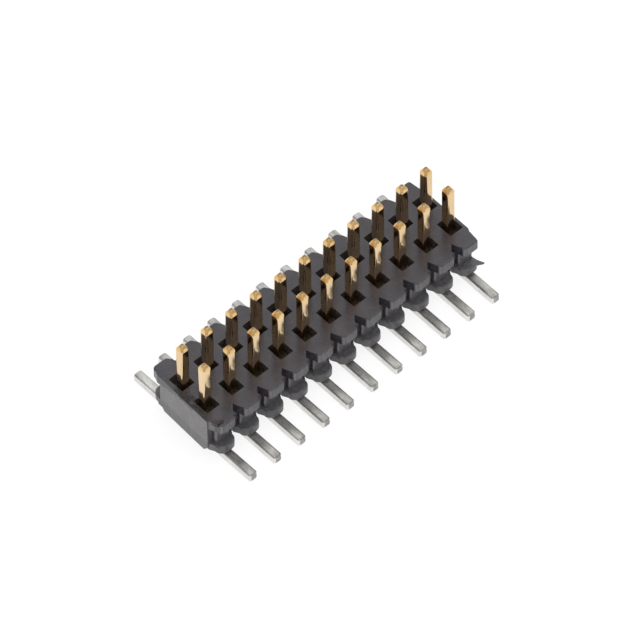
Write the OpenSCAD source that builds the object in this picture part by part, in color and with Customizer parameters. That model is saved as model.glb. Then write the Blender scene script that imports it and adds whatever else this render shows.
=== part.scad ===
// Double row surface mount pin header strip, millimetres, +Z up.
// X runs along the strip, Y from the front row to the back row, Z = 0 is the plane the tails stand on.
// The moulding is one solid; each contact is one bent wire, so it is one solid too.

/* [Grid] */
// distance between neighbouring posts along the strip
pitch = 1.27; // [1.2:0.01:1.4]
// distance between the two rows of posts
row_spacing = 1.27; // [1.2:0.01:1.4]

/* [Contact wire] */
// width of the square wire
wire = 0.4; // [0.34:0.01:0.44]
// radius of the wire's long edges
wire_round = 0.09; // [0.05:0.01:0.12]
// inner radius of the bend between post and tail
bend_inner = 0.15; // [0.1:0.01:0.2]
// height of a post's tip over the plane of the tails
post_top = 4.72; // [3.8:0.02:6]
// length of the bevels at a post's tip
tip_length = 0.22; // [0.1:0.01:0.35]
// width of the flat left at a post's tip
tip_flat = 0.14; // [0.08:0.01:0.22]
// distance from the strip's middle plane to a tail's end
tail_reach = 3.38; // [3:0.02:4]
// bevel round a tail's cut end
tail_bevel = 0.06; // [0.03:0.01:0.1]

/* [Moulding] */
// height of the moulding
body_height = 1.94; // [1.85:0.01:2.4]
// gap between the moulding's underside and the tails below it
seat_gap = 0.02; // [0.01:0.01:0.06]
// half depth of the moulding, from the middle plane to the lobes' outer faces
lobe_reach = 2; // [1.95:0.01:2.1]
// half depth at the bottom of the notches between the lobes
notch_reach = 1.43; // [1.38:0.01:1.5]
// width of a notch at its bottom
notch_width = 0.14; // [0.1:0.01:0.2]

/* [Lobes, upper block] */
// half width of the block
block_half = 0.42; // [0.4:0.01:0.5]
// radius of the block's upright corners
block_round = 0.2; // [0.1:0.01:0.25]
// height of the block
block_height = 0.48; // [0.4:0.01:0.55]
// small bevel along the block's top edge
block_bevel = 0.05; // [0.02:0.005:0.08]

/* [Lobes, neck] */
// half width of the neck
neck_half = 0.38; // [0.3:0.01:0.4]
// distance of the neck behind the lobes' outer faces
neck_inset = 0.36; // [0.25:0.01:0.4]
// radius of the neck's upright corners
neck_round = 0.14; // [0.1:0.01:0.18]

/* [Lobes, foot] */
// half width of the foot
foot_half = 0.45; // [0.42:0.01:0.5]
// radius of the foot's upright corners
foot_round = 0.35; // [0.2:0.01:0.4]
// height of the foot's top over the moulding's underside
foot_height = 0.52; // [0.45:0.01:0.6]
// small bevel along the foot's top edge
foot_bevel = 0.06; // [0.02:0.01:0.1]
// height of the bevel under the foot
under_rise = 0.15; // [0.08:0.01:0.25]
// inward run of the bevel under the foot
under_run = 0.14; // [0.08:0.01:0.15]
// height of the bevel along the underside between the feet
hem_rise = 0.3; // [0.2:0.01:0.35]
// inward run of that bevel
hem_run = 0.24; // [0.15:0.01:0.3]

/* [Ends] */
// distance from the last post to the strip's right end
right_end = 0.445; // [0.44:0.005:0.6]
// distance from the first post to the snapped left end, at its front edge
left_front = 0.63; // [0.45:0.01:0.635]
// the same at its back edge
left_back = 0.51; // [0.45:0.01:0.635]
// amount by which the outermost lobes narrow toward their outer faces at the right end
end_taper = 0.14; // [0.05:0.01:0.2]

/* [Pockets] */
// length of a pocket along the strip
pocket_length = 0.65; // [0.56:0.01:0.7]
// room in a pocket on a post's inner side
pocket_inner = 0.11; // [0.05:0.01:0.12]
// room in a pocket on a post's outer side
pocket_outer = 0.285; // [0.2:0.005:0.3]
// depth of a pocket
pocket_depth = 0.55; // [0.3:0.01:0.8]
// bevel on a pocket's upright corners
pocket_corner = 0.02; // [0.01:0.01:0.08]

/* [Fit] */
// clearance of a post in its hole, zero for the real press fit
hole_clear = 0; // [0:0.005:0.02]
// clearance round the bends in the underside
bend_clear = 0.03; // [0.02:0.01:0.05]

/* [Flash] */
// reach of the torn sliver of flash from the right end
sliver_reach = 0.21; // [0.16:0.01:0.25]
// thickness of the sliver
sliver_thick = 0.1; // [0.05:0.01:0.15]

/* [Hidden] */
positions = 11;
$fn = 24;
over = 0.05;
row_y = row_spacing / 2;
body_bottom = wire + seat_gap;
body_top = body_bottom + body_height;
bend_mid = bend_inner + wire / 2;
bend_z = wire / 2 + bend_mid;
pocket_mid = row_y + (pocket_outer - pocket_inner) / 2;
pocket_width = wire + pocket_inner + pocket_outer;
foot_top = body_bottom + foot_height;
block_bottom = body_top - block_height;

function post_x(i) = (i - (positions + 1) / 2) * pitch;

// Section of the wire, a square with rounded corners.
module wire_section(extra = 0) {
    a = wire / 2 + extra;
    c = a - wire_round;
    square([2 * a, 2 * c], center = true);
    square([2 * c, 2 * a], center = true);
    for (x = [-c, c], y = [-c, c]) translate([x, y]) circle(r = wire_round);
}

// Long bar whose free end, at x = length, is bevelled down to a narrower flat on two sides.
module bevelled_bar(length, bevel, flat) {
    rotate([90, 0, 0])
        linear_extrude(height = 2 * wire, center = true)
            polygon([[0, -wire], [length - bevel, -wire], [length - bevel, -wire / 2],
                [length, -flat / 2], [length, flat / 2], [length - bevel, wire / 2],
                [length - bevel, wire], [0, wire]]);
}

// Square wire along +X with four bevels at its free end.
module cut_wire(length, bevel, flat) {
    intersection() {
        rotate([90, 0, 90]) linear_extrude(height = length) wire_section();
        bevelled_bar(length, bevel, flat);
        rotate([90, 0, 0]) bevelled_bar(length, bevel, flat);
    }
}

// One contact, its post on the Z axis and its tail running out along +Y.
module contact() {
    color("goldenrod")
        translate([0, 0, bend_z])
            rotate([0, -90, 0]) cut_wire(post_top - bend_z, tip_length, tip_flat);
    color("silver") {
        translate([0, bend_mid, bend_z])
            rotate([0, 90, 180])
                rotate_extrude(angle = 90)
                    translate([bend_mid, 0]) wire_section();
        translate([0, bend_mid, wire / 2])
            rotate([0, 0, 90])
                cut_wire(tail_reach - row_y - bend_mid, tail_bevel, wire - 2 * tail_bevel);
    }
}

// Places contact i, the front row turned so that its tails leave at the front.
module place_contact(i, side) {
    translate([post_x(i), side * row_y, 0])
        rotate([0, 0, side < 0 ? 180 : 0]) contact();
}

// Upright section of a wall whose outer face is at x = reach, bevelled at its top and its bottom edge.
module wall_section(reach, bottom, top, bevel, run, rise) {
    polygon([[0, bottom], [reach - run, bottom], [reach, bottom + rise],
        [reach, top - bevel], [reach - bevel, top], [0, top]]);
}

// Block facing +Y, with two rounded upright corners.
module block(half, reach, corner, bottom, top, bevel, run, rise) {
    side = half - corner;
    front = reach - corner;
    translate([-side, 0, 0])
        rotate([90, 0, 90])
            linear_extrude(height = 2 * side) wall_section(reach, bottom, top, bevel, run, rise);
    for (turn = [0, 180])
        rotate([0, 0, turn])
            translate([0, turn == 0 ? front : 0, 0])
                rotate([90, 0, 0])
                    linear_extrude(height = front) wall_section(half, bottom, top, bevel, run, rise);
    for (x = [-side, side])
        translate([x, front, 0])
            rotate_extrude() wall_section(corner, bottom, top, bevel, run, rise);
}

// Slanted flanks from the notch bottoms to where a block's corners start.
module flanks(half, corner, bottom, top) {
    outer = (pitch - notch_width) / 2;
    front = lobe_reach - corner;
    translate([0, 0, bottom])
        linear_extrude(height = top - bottom)
            polygon([[-outer, 0], [outer, 0], [outer, notch_reach], [half, front],
                [-half, front], [-outer, notch_reach]]);
}

// One lobe facing +Y: a block on top, a neck, and a round foot.
module lobe() {
    block(block_half, lobe_reach, block_round, block_bottom, body_top, block_bevel, 0, 0);
    flanks(block_half, block_round, block_bottom, body_top);
    block(neck_half, lobe_reach - neck_inset, neck_round, foot_top - over, block_bottom + over, 0, 0, 0);
    block(foot_half, lobe_reach, foot_round, body_bottom, foot_top, foot_bevel, under_run, under_rise);
    flanks(foot_half, foot_round, body_bottom + under_rise, foot_top);
}

// All lobes of one side.
module lobe_row() {
    for (i = [1 : positions]) translate([post_x(i), 0, 0]) lobe();
}

// Straight core between the two rows of lobes.
module core() {
    translate([-positions * pitch / 2, 0, 0])
        rotate([90, 0, 90])
            linear_extrude(height = positions * pitch)
                polygon([[-notch_reach + hem_run, body_bottom], [notch_reach - hem_run, body_bottom],
                    [notch_reach, body_bottom + hem_rise], [notch_reach, body_top],
                    [-notch_reach, body_top], [-notch_reach, body_bottom + hem_rise]]);
}

// Room between the strip's ends, the left one snapped off at a slight slant.
module ends() {
    x0 = post_x(1);
    x1 = post_x(positions) + right_end;
    y = notch_reach;
    linear_extrude(height = body_top + over)
        polygon([[x0 - left_front, -lobe_reach - over], [x1 - end_taper, -lobe_reach - over],
            [x1 - end_taper / 2, -y], [x1, -y + end_taper], [x1, y - end_taper],
            [x1 - end_taper / 2, y], [x1 - end_taper, lobe_reach + over],
            [x0 - left_back, lobe_reach + over], [x0 - left_back, y], [x0 - left_front, -y]]);
}

// Pocket, hole and bend relief of one contact, its tail side along +Y.
module contact_cuts() {
    h = pocket_length / 2;
    k = pocket_width / 2;
    c = pocket_corner;
    translate([0, pocket_mid - row_y, body_top - pocket_depth])
        linear_extrude(height = pocket_depth + over)
            polygon([[-h + c, -k], [h - c, -k], [h, -k + c], [h, k - c],
                [h - c, k], [-h + c, k], [-h, k - c], [-h, -k + c]]);
    translate([0, 0, body_bottom - over])
        linear_extrude(height = body_height) wire_section(hole_clear);
    translate([-wire / 2 - bend_clear, -wire / 2 - bend_clear, body_bottom - over])
        cube([wire + 2 * bend_clear, bend_mid + wire / 2 + bend_clear,
            bend_z - body_bottom + over]);
}

// Torn sliver of flash, hooked round the foot's corner at the right end of the front side.
module sliver() {
    x = post_x(positions) + right_end;
    translate([x, -lobe_reach, body_bottom + under_rise])
        linear_extrude(height = sliver_thick)
            polygon([[-0.25, 0.7], [0.03, 0.72], [0.05, 0.5], [0.08, 0.32], [0.14, 0.15],
                [sliver_reach, 0.01], [0.12, 0.04], [0.03, 0.1], [-0.25, 0.2]]);
}

// Black moulding that holds every contact.
module moulding() {
    color([0.13, 0.13, 0.14]) {
        difference() {
            intersection() {
                union() {
                    core();
                    lobe_row();
                    mirror([0, 1, 0]) lobe_row();
                }
                ends();
            }
            for (i = [1 : positions], side = [-1, 1])
                translate([post_x(i), side * row_y, 0])
                    rotate([0, 0, side < 0 ? 180 : 0]) contact_cuts();
        }
        sliver();
    }
}

module contact_front_01() place_contact(1, -1);
module contact_front_02() place_contact(2, -1);
module contact_front_03() place_contact(3, -1);
module contact_front_04() place_contact(4, -1);
module contact_front_05() place_contact(5, -1);
module contact_front_06() place_contact(6, -1);
module contact_front_07() place_contact(7, -1);
module contact_front_08() place_contact(8, -1);
module contact_front_09() place_contact(9, -1);
module contact_front_10() place_contact(10, -1);
module contact_front_11() place_contact(11, -1);
module contact_back_01() place_contact(1, 1);
module contact_back_02() place_contact(2, 1);
module contact_back_03() place_contact(3, 1);
module contact_back_04() place_contact(4, 1);
module contact_back_05() place_contact(5, 1);
module contact_back_06() place_contact(6, 1);
module contact_back_07() place_contact(7, 1);
module contact_back_08() place_contact(8, 1);
module contact_back_09() place_contact(9, 1);
module contact_back_10() place_contact(10, 1);
module contact_back_11() place_contact(11, 1);

moulding();
contact_front_01();
contact_front_02();
contact_front_03();
contact_front_04();
contact_front_05();
contact_front_06();
contact_front_07();
contact_front_08();
contact_front_09();
contact_front_10();
contact_front_11();
contact_back_01();
contact_back_02();
contact_back_03();
contact_back_04();
contact_back_05();
contact_back_06();
contact_back_07();
contact_back_08();
contact_back_09();
contact_back_10();
contact_back_11();
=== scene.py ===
"""Looks of the pin header strip: finely rounded contacts, materials, floor, light and camera."""
import math
import bpy
from mathutils import Matrix, Vector


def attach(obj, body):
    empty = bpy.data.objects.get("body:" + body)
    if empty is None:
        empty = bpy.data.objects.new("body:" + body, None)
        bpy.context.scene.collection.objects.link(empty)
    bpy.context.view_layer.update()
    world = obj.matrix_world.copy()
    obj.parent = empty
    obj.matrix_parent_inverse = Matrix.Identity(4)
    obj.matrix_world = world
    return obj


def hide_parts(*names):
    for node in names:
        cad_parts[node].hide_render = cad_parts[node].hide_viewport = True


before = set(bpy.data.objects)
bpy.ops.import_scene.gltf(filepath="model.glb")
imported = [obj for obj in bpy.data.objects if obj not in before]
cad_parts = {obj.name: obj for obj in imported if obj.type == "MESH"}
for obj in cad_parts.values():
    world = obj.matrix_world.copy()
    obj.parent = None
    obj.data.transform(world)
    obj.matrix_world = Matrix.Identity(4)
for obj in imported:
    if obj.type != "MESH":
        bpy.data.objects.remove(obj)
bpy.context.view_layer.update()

# Sizes of the contacts in millimetres, as in the part's source
MM = 0.001
POSITIONS = 11
PITCH = 1.27
ROW_Y = 0.635
WIRE = 0.4
HALF = WIRE / 2
BEND_INNER = 0.15
POST_TOP = 4.72
TIP_LENGTH = 0.22
TIP_FLAT = 0.14
TAIL_REACH = 3.38
TAIL_BEVEL = 0.06
BODY_TOP = 2.36

# Rounding of the wire's long edges in millimetres, and the rings and steps that its mesh is made of
ROUND = 0.09
CORNER_STEPS = 6
CORNER_LEAD = 0.08
POST_RINGS = (3.6, 2.9, BODY_TOP, 1.4)
BEND_STEPS = 8
TAIL_RINGS = (1.3, 2.0)
TIP_CORNER, TIP_CORNER_MORE = 0.45, 0.25
WIRE_SHARP = 38.0

# Edge radius of the moulding in millimetres, and the smallest edge angle in degrees that gets it
MOULD_EDGE = 0.022
MOULD_ANGLE = 18.0

# Where the looks change, in millimetres, each as the start and end of a soft border
FEET_Z = (0.98, 1.10)
BLOCKS_Z = (1.10, 1.20)
POCKETS_X = (6.72, 6.76)
POCKETS_Y = (1.24, 1.28)
POCKETS_Z = (2.31, 2.35)
TOP_Z = (2.22, 2.28)
SNAPPED_X = (-6.84, -6.80)
CHIP_Y = (-0.3, 1.3)
CHIP_Z = (2.34, 2.40)
CHIP_DEPTH = 0.42
CHIP_RAGGED = 0.12
TIPS_Z = (4.47, 4.53)
# Painted shade on the tin tops, darkest at the front ends and fading out toward the roots
PAINTED_SHADE_Y = (-3.3, -1.6)

# Dent and torn spots on the moulding's top: centre and radii in millimetres, turn in degrees
DENT = ((-6.72, -1.70), (0.27, 0.14), -20.0)
CRUMBS = ((-6.74, -0.30), (0.24, 0.90), 0.0)
OVAL_BORDER = (0.25, 1.3)

# Borders between faces, by one part of the surface's normal
OUTER_FACES = (0.45, 0.80)
LEFT_CORNERS = (-0.7, -0.4)
SNAPPED_FACE = (-0.9, -0.8)
UPPER_FACES = (0.6, 0.9)
TAIL_FLANKS = (0.3, 0.7)

# Colours of the moulding, each as a dark and a light tone that a noise mixes
BLACK_TOP = ((0.025, 0.022, 0.031), (0.052, 0.045, 0.055))
# Outer faces and feet: a streaked matt tone, made lighter than the top as painted light from the bright
# floor
BLACK_SIDE_PAINTED_LIGHT = ((0.054, 0.051, 0.057), (0.116, 0.111, 0.118))
# Left-facing corners of the blocks: a lighter tone that is painted light from the left
BLACK_CORNER_PAINTED_LIGHT = ((0.145, 0.139, 0.149), (0.245, 0.237, 0.248))
# Up-facing foot ledges under the blocks: a lighter tone that is painted light against their shade
BLACK_FOOT_PAINTED_LIGHT = ((0.076, 0.072, 0.078), (0.152, 0.145, 0.152))
# Pockets round the posts: a brown tone that is a painted reflection of the gold posts
POCKET_PAINTED_REFLECTION = ((0.068, 0.057, 0.055), (0.096, 0.080, 0.077))
SNAPPED_GREY = ((0.110, 0.104, 0.107), (0.165, 0.157, 0.161))
SCAR = ((0.010, 0.008, 0.009), (0.024, 0.018, 0.017))

# Colours of the contacts and of the floor, in the same form
GOLD_FACE = ((0.72, 0.52, 0.29), (0.83, 0.63, 0.39))
GOLD_TIP = ((0.71, 0.46, 0.19), (0.82, 0.56, 0.27))
TIN_TOP = ((0.41, 0.40, 0.38), (0.72, 0.71, 0.69))
# Tin tops toward the front ends: a darker tone that is painted shade
TIN_TOP_PAINTED_SHADE = ((0.23, 0.222, 0.205), (0.50, 0.487, 0.463))
# Tin flanks: a lighter tone that is a painted reflection of the white floor
TIN_FLANK_PAINTED_REFLECTION = ((0.64, 0.63, 0.61), (0.86, 0.85, 0.83))
CUT_GREY = ((0.24, 0.23, 0.22), (0.48, 0.47, 0.46))
CUT_AMBER = ((0.30, 0.20, 0.10), (0.46, 0.32, 0.17))
FLOOR_WHITE = ((0.85, 0.85, 0.85), (0.87, 0.87, 0.87))
FLOOR_SEEN = ((0.245, 0.245, 0.245), (0.255, 0.255, 0.255))

# Roughness of the surfaces, each as the range that a noise runs over
SATIN = (0.22, 0.32)
MATT = (0.34, 0.50)
GOLD_ROUGH = (0.08, 0.16)
TIN_ROUGH = (0.38, 0.50)
CUT_ROUGH = (0.4, 0.6)
PLASTIC_IOR = 1.6

# Depth of the bumps in millimetres
COARSE_GRAIN = 0.010
FINE_GRAIN = 0.003
CRUMB_DEPTH = 0.034
DENT_DEPTH = 0.060
GOLD_GRAIN = 0.002
TIN_GRAIN = 0.003
CUT_GRAIN = 0.004

# Floor: its size in metres, and the light that it gives off to the camera and to reflections
FLOOR_SIZE = 4.0
FLOOR_ROUGH = 0.9
FLOOR_GLOW = 0.84

# Light of the tent by height, and of its dim and bright places by how nearly a ray points at them
SKY = ((0.0, 0.57), (0.2, 0.62), (0.8, 0.82), (0.92, 1.45))
DIM_PLACE = ((-0.44, 0.50, 0.746), ((0.72, 1.0), (0.88, 0.6), (1.0, 0.45)))
BRIGHT_PLACE = ((0.40, 0.456, 0.795), ((0.80, 1.0), (0.96, 1.35)))

# Lamp: place and size in metres, power in watts
LAMP_PLACE = (-0.45, -0.25, 0.50)
LAMP_SIZE = 0.30
LAMP_POWER = 0.25

# Camera fitted to the photo's post tips and tail ends: angles, distance and offset in mm, pixels per mm
AZ, EL, ROLL = math.radians(-41.52), math.radians(52.49), math.radians(-1.0)
DIST, SCALE, TX, TY = 558.3, 25.784, 0.118, 0.781
SENSOR = 36.0
IMAGE_WIDTH = 640.0


# Node helpers
def new_material(name):
    m = bpy.data.materials.new(name)
    m.use_nodes = True
    nt = m.node_tree
    nt.nodes.clear()
    out = nt.nodes.new("ShaderNodeOutputMaterial")
    bsdf = nt.nodes.new("ShaderNodeBsdfPrincipled")
    nt.links.new(bsdf.outputs[0], out.inputs[0])
    return m, nt, bsdf, out


def here(nt):
    return nt.nodes.new("ShaderNodeTexCoord").outputs["Object"]


def parts(nt, vector):
    separate = nt.nodes.new("ShaderNodeSeparateXYZ")
    nt.links.new(vector, separate.inputs[0])
    return separate.outputs[0], separate.outputs[1], separate.outputs[2]


def normal_parts(nt):
    return parts(nt, nt.nodes.new("ShaderNodeNewGeometry").outputs["Normal"])


def noise(nt, scale, detail=3.0, rough=0.55, stretch=None):
    vec = here(nt)
    if stretch:
        mp = nt.nodes.new("ShaderNodeMapping")
        mp.inputs["Scale"].default_value = stretch
        nt.links.new(vec, mp.inputs["Vector"])
        vec = mp.outputs[0]
    n = nt.nodes.new("ShaderNodeTexNoise")
    n.inputs["Scale"].default_value = scale
    n.inputs["Detail"].default_value = detail
    n.inputs["Roughness"].default_value = rough
    nt.links.new(vec, n.inputs["Vector"])
    return n.outputs["Fac"]


def ramp(nt, fac, stops):
    r = nt.nodes.new("ShaderNodeValToRGB")
    el = r.color_ramp.elements
    while len(el) < len(stops):
        el.new(0.5)
    for e, (position, colour) in zip(el, stops):
        e.position = position
        e.color = (*colour, 1.0)
    nt.links.new(fac, r.inputs[0])
    return r.outputs[0]


def mottle(nt, fac, tones, limits=(0.3, 0.7)):
    return ramp(nt, fac, list(zip(limits, tones)))


def grey_ramp(nt, fac, stops):
    return ramp(nt, fac, [(at, (v, v, v)) for at, v in stops])


def span(nt, fac, low, high, start=0.0, end=1.0):
    m = nt.nodes.new("ShaderNodeMapRange")
    m.inputs["From Min"].default_value = start
    m.inputs["From Max"].default_value = end
    m.inputs["To Min"].default_value = low
    m.inputs["To Max"].default_value = high
    nt.links.new(fac, m.inputs[0])
    return m.outputs[0]


def rising(nt, fac, border, unit=1.0):
    return span(nt, fac, 0.0, 1.0, border[0] * unit, border[1] * unit)


def falling(nt, fac, border, unit=1.0):
    return span(nt, fac, 1.0, 0.0, border[0] * unit, border[1] * unit)


def blend(nt, fac, first, second):
    m = nt.nodes.new("ShaderNodeMixRGB")
    nt.links.new(fac, m.inputs[0])
    nt.links.new(first, m.inputs[1])
    nt.links.new(second, m.inputs[2])
    return m.outputs[0]


def maths(nt, operation, first, second=None):
    m = nt.nodes.new("ShaderNodeMath")
    m.operation = operation
    nt.links.new(first, m.inputs[0])
    if second is not None:
        nt.links.new(second, m.inputs[1])
    return m.outputs[0]


def both(nt, first, *others):
    for other in others:
        first = maths(nt, "MULTIPLY", first, other)
    return first


def either(nt, first, *others):
    for other in others:
        first = maths(nt, "MAXIMUM", first, other)
    return first


def dot(nt, vector, direction):
    product = nt.nodes.new("ShaderNodeVectorMath")
    product.operation = "DOT_PRODUCT"
    product.inputs[1].default_value = direction
    nt.links.new(vector, product.inputs[0])
    return product.outputs["Value"]


def times(nt, first, second):
    product = nt.nodes.new("ShaderNodeVectorMath")
    product.operation = "MULTIPLY"
    nt.links.new(first, product.inputs[0])
    nt.links.new(second, product.inputs[1])
    return product.outputs[0]


def oval(nt, centre, radii, turn):
    a = math.radians(turn)
    away = nt.nodes.new("ShaderNodeVectorMath")
    away.operation = "SUBTRACT"
    away.inputs[1].default_value = (centre[0] * MM, centre[1] * MM, 0.0)
    nt.links.new(here(nt), away.inputs[0])
    squares = []
    for (dx, dy), radius in zip(((math.cos(a), math.sin(a)), (-math.sin(a), math.cos(a))), radii):
        along = dot(nt, away.outputs[0], (dx / (radius * MM), dy / (radius * MM), 0.0))
        squares.append(maths(nt, "MULTIPLY", along, along))
    return falling(nt, maths(nt, "ADD", *squares), OVAL_BORDER)


def bump(nt, bsdf, height, distance, strength=1.0, before=None):
    b = nt.nodes.new("ShaderNodeBump")
    b.inputs["Strength"].default_value = strength
    b.inputs["Distance"].default_value = distance * MM
    nt.links.new(height, b.inputs["Height"])
    if before is not None:
        nt.links.new(before, b.inputs["Normal"])
    nt.links.new(b.outputs[0], bsdf.inputs["Normal"])
    return b.outputs[0]


def moulding_material():
    """Satin black on top; rougher and greyer on the outer faces and feet, where the lighter tone is painted
    light, with more painted light on the foot ledges and the left-facing corners; browner in the pockets, a
    painted reflection of the gold posts; and palest on the snapped left end, where a dark chip, a dent and
    torn spots lie along the upper edge."""
    m, nt, bsdf, _ = new_material("black_moulding")
    facing_x, facing_y, facing_z = normal_parts(nt)
    x, y, z = parts(nt, here(nt))

    # Masks of the outer faces, feet and pockets
    outward = rising(nt, maths(nt, "ABSOLUTE", facing_y), OUTER_FACES)
    low = falling(nt, z, FEET_Z, MM)
    outer_and_low = either(nt, outward, low)
    # Left-facing faces of the blocks, which get painted light
    left = both(nt, falling(nt, facing_x, LEFT_CORNERS), rising(nt, z, BLOCKS_Z, MM), outward)
    # Up-facing foot ledges, which get painted light
    ledge = both(nt, low, rising(nt, facing_z, UPPER_FACES))
    # Pockets, which get a painted reflection of the gold posts
    inner = both(nt, falling(nt, maths(nt, "ABSOLUTE", y), POCKETS_Y, MM), falling(nt, z, POCKETS_Z, MM),
                 falling(nt, maths(nt, "ABSOLUTE", x), POCKETS_X, MM))

    # Masks of the snapped end, without the chip that deepens toward the back, and of the scars above it
    chip = maths(nt, "ADD", span(nt, y, 0.0, CHIP_DEPTH * MM, CHIP_Y[0] * MM, CHIP_Y[1] * MM),
                 span(nt, noise(nt, 3500.0, 4.0, 0.7), -CHIP_RAGGED * MM, CHIP_RAGGED * MM))
    torn = both(nt, falling(nt, x, SNAPPED_X, MM), falling(nt, facing_x, SNAPPED_FACE),
                falling(nt, maths(nt, "ADD", z, chip), CHIP_Z, MM))
    upper = rising(nt, z, TOP_Z, MM)
    dent = both(nt, upper, oval(nt, *DENT))
    crumbs = both(nt, upper, oval(nt, *CRUMBS), rising(nt, noise(nt, 4200.0, 4.0, 0.7), (0.46, 0.56)))
    scars = either(nt, dent, crumbs)

    # Colour, with painted light in the side, foot and corner tones and a painted reflection of the gold in
    # the pockets
    top = mottle(nt, noise(nt, 1700.0, 4.0, 0.6), BLACK_TOP)
    # Streaked outer tone, lighter than the top as painted light
    side = mottle(nt, noise(nt, 6500.0, 4.0, 0.7, (1.0, 1.0, 0.45)), BLACK_SIDE_PAINTED_LIGHT, (0.32, 0.68))
    foot_painted_light = mottle(nt, noise(nt, 5500.0, 4.0, 0.7), BLACK_FOOT_PAINTED_LIGHT)
    corner = mottle(nt, noise(nt, 5000.0, 4.0, 0.7), BLACK_CORNER_PAINTED_LIGHT)
    pocket_painted_reflection = mottle(nt, noise(nt, 4000.0), POCKET_PAINTED_REFLECTION)
    rough_end = mottle(nt, noise(nt, 3000.0, 5.0, 0.65, (1.0, 1.0, 0.5)), SNAPPED_GREY)
    scar = mottle(nt, noise(nt, 9000.0), SCAR)
    colour = blend(nt, outer_and_low, top, side)
    for mask, tone in ((ledge, foot_painted_light), (left, corner), (inner, pocket_painted_reflection), (torn, rough_end), (scars, scar)):
        colour = blend(nt, mask, colour, tone)
    nt.links.new(colour, bsdf.inputs["Base Color"])

    # Gloss and grain
    sheen = span(nt, noise(nt, 5200.0), *SATIN)
    matt = span(nt, noise(nt, 7000.0), *MATT)
    nt.links.new(blend(nt, either(nt, outer_and_low, scars), sheen, matt), bsdf.inputs["Roughness"])
    bsdf.inputs["IOR"].default_value = PLASTIC_IOR
    coarse = bump(nt, bsdf, noise(nt, 3800.0, 2.0), COARSE_GRAIN, 0.5)
    fine = bump(nt, bsdf, noise(nt, 14000.0, 2.0), FINE_GRAIN, 0.4, coarse)
    pitted = bump(nt, bsdf, span(nt, crumbs, 1.0, 0.0), CRUMB_DEPTH, 1.0, fine)
    bump(nt, bsdf, span(nt, dent, 1.0, 0.0), DENT_DEPTH, 1.0, pitted)
    return m


def gold_material():
    """Gold flash on the posts, more amber on the coined tips."""
    m, nt, bsdf, _ = new_material("gold_post")
    z = parts(nt, here(nt))[2]
    tone = noise(nt, 900.0, 3.0, 0.6, (1.0, 1.0, 0.25))
    colour = blend(nt, rising(nt, z, TIPS_Z, MM), mottle(nt, tone, GOLD_FACE), mottle(nt, tone, GOLD_TIP))
    nt.links.new(colour, bsdf.inputs["Base Color"])
    bsdf.inputs["Metallic"].default_value = 1.0
    rough = span(nt, noise(nt, 4000.0, 3.0, 0.6, (1.0, 1.0, 0.2)), *GOLD_ROUGH)
    nt.links.new(rough, bsdf.inputs["Roughness"])
    bump(nt, bsdf, noise(nt, 5200.0, 2.0, 0.5, (1.0, 1.0, 0.15)), GOLD_GRAIN, 0.5)
    return m


def tin_material():
    """Matte tin drawn along the tails: darker on top toward the front tails' ends, a painted shade, and
    lighter on the flanks, a painted reflection of the floor.
    """
    m, nt, bsdf, _ = new_material("tin_tail")
    facing_z = normal_parts(nt)[2]
    y = parts(nt, here(nt))[1]
    tone = noise(nt, 3600.0, 5.0, 0.7, (1.0, 0.4, 1.0))
    # Tin tops, a copy darkened by painted shade, and flanks lightened by a painted reflection of the floor
    tin_top = mottle(nt, tone, TIN_TOP, (0.34, 0.66))
    tin_top_painted_shade = mottle(nt, tone, TIN_TOP_PAINTED_SHADE, (0.34, 0.66))
    flank_painted_reflection = mottle(nt, tone, TIN_FLANK_PAINTED_REFLECTION)
    # Painted shade darkens the tops toward the front tails' ends
    colour = blend(nt, falling(nt, y, PAINTED_SHADE_Y, MM), tin_top, tin_top_painted_shade)
    # The flanks take the lighter tone, a painted reflection of the floor
    upright = falling(nt, maths(nt, "ABSOLUTE", facing_z), TAIL_FLANKS)
    nt.links.new(blend(nt, upright, colour, flank_painted_reflection), bsdf.inputs["Base Color"])
    bsdf.inputs["Metallic"].default_value = 1.0
    rough = span(nt, noise(nt, 6000.0, 3.0, 0.6, (1.0, 0.25, 1.0)), *TIN_ROUGH)
    nt.links.new(rough, bsdf.inputs["Roughness"])
    bump(nt, bsdf, noise(nt, 9000.0, 2.0, 0.5, (1.0, 0.12, 1.0)), TIN_GRAIN, 0.5)
    return m


def cut_material(name, tones):
    """Sheared end of the wire, grained along the cut."""
    m, nt, bsdf, _ = new_material(name)
    nt.links.new(mottle(nt, noise(nt, 7000.0, 4.0, 0.6), tones), bsdf.inputs["Base Color"])
    bsdf.inputs["Metallic"].default_value = 1.0
    nt.links.new(span(nt, noise(nt, 9000.0), *CUT_ROUGH), bsdf.inputs["Roughness"])
    bump(nt, bsdf, noise(nt, 15000.0, 2.0, 0.5, (1.0, 1.0, 0.2)), CUT_GRAIN, 0.6)
    return m


# Contacts: square wire with rounded long edges, swept down the post, round the bend and along the tail
def section(half, r):
    """Outline of a square with rounded corners, with a point just beside each corner's ends."""
    pts = []
    c = half - r
    lead = CORNER_LEAD * r
    for quarter, (sx, sy) in enumerate(((1, 1), (-1, 1), (-1, -1), (1, -1))):
        arc = [math.radians(90.0 * (quarter + k / CORNER_STEPS)) for k in range(CORNER_STEPS + 1)]
        corner = [(sx * c + r * math.cos(a), sy * c + r * math.sin(a)) for a in arc]
        a, b = arc[0], arc[-1]
        pts.append((corner[0][0] + lead * math.sin(a), corner[0][1] - lead * math.cos(a)))
        pts += corner
        pts.append((corner[-1][0] - lead * math.sin(b), corner[-1][1] + lead * math.cos(b)))
    return pts


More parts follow.
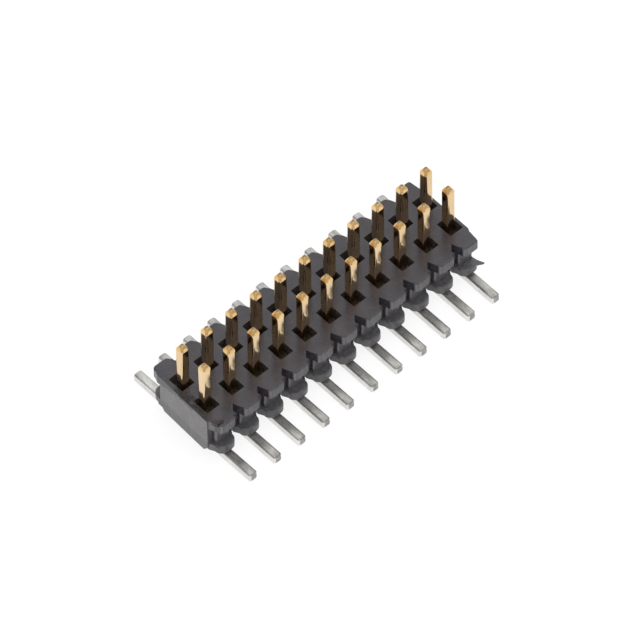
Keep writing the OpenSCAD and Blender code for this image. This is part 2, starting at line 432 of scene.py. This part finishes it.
def tip_rings():
    """Depth under the post's top, half width and corner radius of each ring. Small steps round the edges."""
    flat = TIP_FLAT / 2
    slope = (HALF - flat) / TIP_LENGTH
    middle = 0.5 * TIP_LENGTH
    shape = ((0.0, flat - 0.012), (0.006, flat - 0.002), (0.016, flat + 0.006),
             (middle, flat + middle * slope), (TIP_LENGTH - 0.03, HALF - 0.03 * slope - 0.002),
             (TIP_LENGTH, HALF - 0.009), (TIP_LENGTH + 0.03, HALF - 0.002), (TIP_LENGTH + 0.06, HALF))
    return [(depth, half, half * (TIP_CORNER + TIP_CORNER_MORE * max(0.0, 1.0 - depth / TIP_LENGTH)))
            for depth, half in shape]


def tail_rings(start):
    """Distance from the post's axis and half width of each ring. Small steps round the end's bevel."""
    end = TAIL_REACH - ROW_Y
    bevel = end - TAIL_BEVEL
    straight = [(y, HALF) for y in (start + 0.01, *TAIL_RINGS, bevel - 0.02)]
    return straight + [(bevel + 0.01, HALF - 0.012), (end - 0.012, HALF - TAIL_BEVEL + 0.008),
                       (end, HALF - TAIL_BEVEL - 0.006)]


def wire_rings():
    """All rings from the tip to the tail's end, and how many of them belong to the post."""
    x, y, z = Vector((1, 0, 0)), Vector((0, 1, 0)), Vector((0, 0, 1))
    rings = []

    def ring(centre, across, half, r):
        rings.append([centre + x * a + across * b for a, b in section(half, r)])

    bend = BEND_INNER + HALF
    bend_z = HALF + bend
    for depth, half, corner in tip_rings():
        ring(Vector((0, 0, POST_TOP - depth)), y, half, corner)
    for height in (*POST_RINGS, bend_z):
        ring(Vector((0, 0, height)), y, HALF, ROUND)
    post = len(rings)
    for k in range(1, BEND_STEPS + 1):
        a = math.radians(90.0 * k / BEND_STEPS)
        centre = Vector((0, bend - bend * math.cos(a), bend_z - bend * math.sin(a)))
        ring(centre, y * math.cos(a) + z * math.sin(a), HALF, ROUND)
    for distance, half in tail_rings(bend):
        ring(Vector((0, distance, HALF)), z, half, ROUND * half / HALF)
    return rings, post


def contact_mesh(name, x, side):
    """A contact of the back row, side 1, or of the front row, side -1, which is turned half round."""
    rings, post = wire_rings()
    verts = [((x + side * p.x) * MM, side * (ROW_Y + p.y) * MM, p.z * MM) for rg in rings for p in rg]
    gold, tin, cut, tip = range(4)
    faces, slots = [], []
    n = len(rings[0])
    for i in range(len(rings) - 1):
        for j in range(n):
            k = (j + 1) % n
            faces.append((i * n + j, (i + 1) * n + j, (i + 1) * n + k, i * n + k))
            slots.append(gold if i < post - 1 else tin)
    faces.append(tuple(range(n)))
    slots.append(tip)
    last = (len(rings) - 1) * n
    faces.append(tuple(last + j for j in reversed(range(n))))
    slots.append(cut)
    me = bpy.data.meshes.new(name)
    me.from_pydata(verts, [], faces)
    me.update()
    ob = bpy.data.objects.new(name, me)
    bpy.context.scene.collection.objects.link(ob)
    for material in (GOLD, TIN, CUT, TIP):
        me.materials.append(material)
    for polygon, slot in zip(me.polygons, slots):
        polygon.material_index = slot
        polygon.use_smooth = True
    me.set_sharp_from_angle(angle=math.radians(WIRE_SHARP))
    return ob


GOLD = gold_material()
TIN = tin_material()
CUT = cut_material("cut_end", CUT_GREY)
TIP = cut_material("cut_tip", CUT_AMBER)
PLASTIC = moulding_material()

for row, side in (("front", -1), ("back", 1)):
    for i in range(1, POSITIONS + 1):
        node = "contact_%s_%02d" % (row, i)
        ob = contact_mesh("wire_%s_%02d" % (row, i), (i - (POSITIONS + 1) / 2) * PITCH, side)
        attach(ob, "root")
        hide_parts(node)

# Moulding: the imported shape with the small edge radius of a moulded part
body = bpy.data.objects["moulding"]
shape = body.data.copy()
shape.transform(body.matrix_world)
shape.materials.clear()
shape.materials.append(PLASTIC)
shell = bpy.data.objects.new("moulding_body", shape)
bpy.context.scene.collection.objects.link(shell)
edge = shell.modifiers.new("moulded_edges", "BEVEL")
edge.width = MOULD_EDGE * MM
edge.segments = 2
edge.limit_method = "ANGLE"
edge.angle_limit = math.radians(MOULD_ANGLE)
edge.use_clamp_overlap = True
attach(shell, "root")
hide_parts("moulding")

# Floor: a pale sheet, shown white to the camera and to reflections with the object's faint shadow kept
bpy.ops.mesh.primitive_plane_add(size=FLOOR_SIZE, location=(0, 0, 0))
floor = bpy.context.object
floor.name = "floor"
fm, nt, sheet, out = new_material("pale_floor")
nt.links.new(mottle(nt, noise(nt, 6.0, 2.0), FLOOR_WHITE), sheet.inputs["Base Color"])
sheet.inputs["Roughness"].default_value = FLOOR_ROUGH
sheet.inputs["Specular IOR Level"].default_value = 0.0
seen = nt.nodes.new("ShaderNodeBsdfDiffuse")
nt.links.new(mottle(nt, noise(nt, 6.0, 2.0), FLOOR_SEEN), seen.inputs["Color"])
glow = nt.nodes.new("ShaderNodeEmission")
glow.inputs["Strength"].default_value = FLOOR_GLOW
add = nt.nodes.new("ShaderNodeAddShader")
nt.links.new(seen.outputs[0], add.inputs[0])
nt.links.new(glow.outputs[0], add.inputs[1])
rays = nt.nodes.new("ShaderNodeLightPath").outputs
looks = either(nt, rays["Is Camera Ray"], rays["Is Glossy Ray"], rays["Is Transmission Ray"])
mix = nt.nodes.new("ShaderNodeMixShader")
nt.links.new(looks, mix.inputs[0])
nt.links.new(sheet.outputs[0], mix.inputs[1])
nt.links.new(add.outputs[0], mix.inputs[2])
nt.links.new(mix.outputs[0], out.inputs[0])
floor.data.materials.append(fm)

# World: a white tent, brightest overhead and high at the back right, greyer low down and at the back left
world = bpy.data.worlds.new("studio")
bpy.context.scene.world = world
world.use_nodes = True
wn = world.node_tree
wn.nodes.clear()
wout = wn.nodes.new("ShaderNodeOutputWorld")
wbg = wn.nodes.new("ShaderNodeBackground")
way = wn.nodes.new("ShaderNodeTexCoord").outputs["Generated"]
tent = grey_ramp(wn, parts(wn, way)[2], SKY)
for direction, stops in (DIM_PLACE, BRIGHT_PLACE):
    tent = times(wn, tent, grey_ramp(wn, dot(wn, way, direction), stops))
wn.links.new(tent, wbg.inputs["Color"])
wn.links.new(wbg.outputs[0], wout.inputs[0])

# One broad lamp from the camera's side
lamp = bpy.data.lights.new("key", "AREA")
lamp.shape = "SQUARE"
lamp.size = LAMP_SIZE
lamp.energy = LAMP_POWER
key = bpy.data.objects.new("key", lamp)
key.location = LAMP_PLACE
key.rotation_euler = (-Vector(LAMP_PLACE)).to_track_quat("-Z", "Y").to_euler()
bpy.context.scene.collection.objects.link(key)

# Camera
back = Vector((math.sin(AZ) * math.cos(EL), -math.cos(AZ) * math.cos(EL), math.sin(EL)))
right = Vector((math.cos(AZ), math.sin(AZ), 0.0))
up = back.cross(right)
cx = right * math.cos(ROLL) + up * math.sin(ROLL)
cy = right * -math.sin(ROLL) + up * math.cos(ROLL)
eye = (cx * TX + cy * TY + back * DIST) * MM
cam_data = bpy.data.cameras.new("photo_camera")
cam_data.sensor_fit = "HORIZONTAL"
cam_data.sensor_width = SENSOR
cam_data.lens = SENSOR * SCALE * DIST / IMAGE_WIDTH
cam_data.clip_start = 0.01
cam_data.clip_end = 20.0
cam = bpy.data.objects.new("photo_camera", cam_data)
cam.matrix_world = Matrix((
    (cx.x, cy.x, back.x, eye.x),
    (cx.y, cy.y, back.y, eye.y),
    (cx.z, cy.z, back.z, eye.z),
    (0, 0, 0, 1)))
bpy.context.scene.collection.objects.link(cam)
bpy.context.scene.camera = cam
bpy.context.scene.view_settings.view_transform = "Standard"
